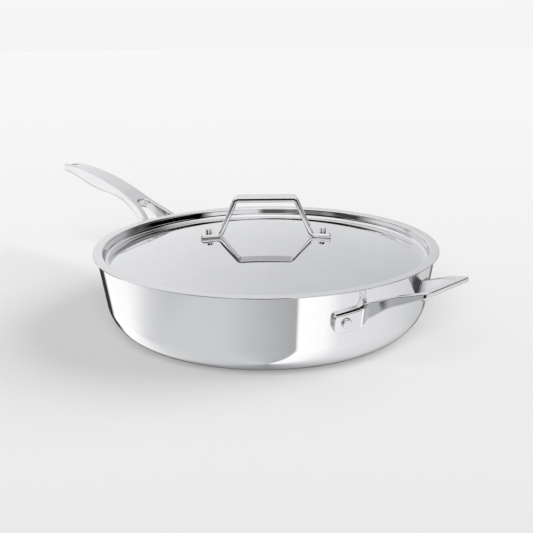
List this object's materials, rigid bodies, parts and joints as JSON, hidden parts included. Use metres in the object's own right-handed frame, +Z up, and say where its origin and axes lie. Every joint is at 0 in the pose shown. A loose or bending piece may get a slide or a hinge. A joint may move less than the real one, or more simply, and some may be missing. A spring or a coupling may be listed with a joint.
{
  "type": "saute pan with lid",
  "caption": "Wide saute pan with a flared wall, a forked long handle, a loop helper handle and a crowned lid with a riveted strap handle.",
  "frame": {"origin": "centre of the flat base, on the surface that the pan stands on", "axes": "+Z up along the pan's axis, +X towards the helper handle, -X along the long handle"},
  "size_m": [0.5539, 0.318, 0.1177],
  "materials": {
    "polished_steel": "mirror-polished stainless steel",
    "core_aluminium": "plain rolled aluminium",
    "satin_steel": "satin stainless steel with fine turned lines",
    "cast_steel": "cast stainless steel, polished on its flanks",
    "rivet_steel": "satin stainless steel",
    "lid_steel": "polished stainless steel with fine turned rings on its flange",
    "strap_steel": "polished stainless steel"
  },
  "bodies": {
    "pan": {"outer_cladding": "polished_steel", "aluminium_core": "core_aluminium", "inner_lining": "satin_steel", "long_handle": "cast_steel", "long_handle_rivet_left": "rivet_steel", "long_handle_rivet_right": "rivet_steel", "helper_handle": "cast_steel", "helper_handle_rivet_left": "rivet_steel", "helper_handle_rivet_right": "rivet_steel"},
    "lid": {"lid": "lid_steel", "lid_handle": "strap_steel", "lid_handle_rivet_left": "rivet_steel", "lid_handle_rivet_right": "rivet_steel"}
  },
  "joints": [
    {"name": "lid_lift", "type": "slide", "parent": "pan", "child": "lid", "axis": [0, 0, 1], "range_m": [0, 0.12]}
  ]
}
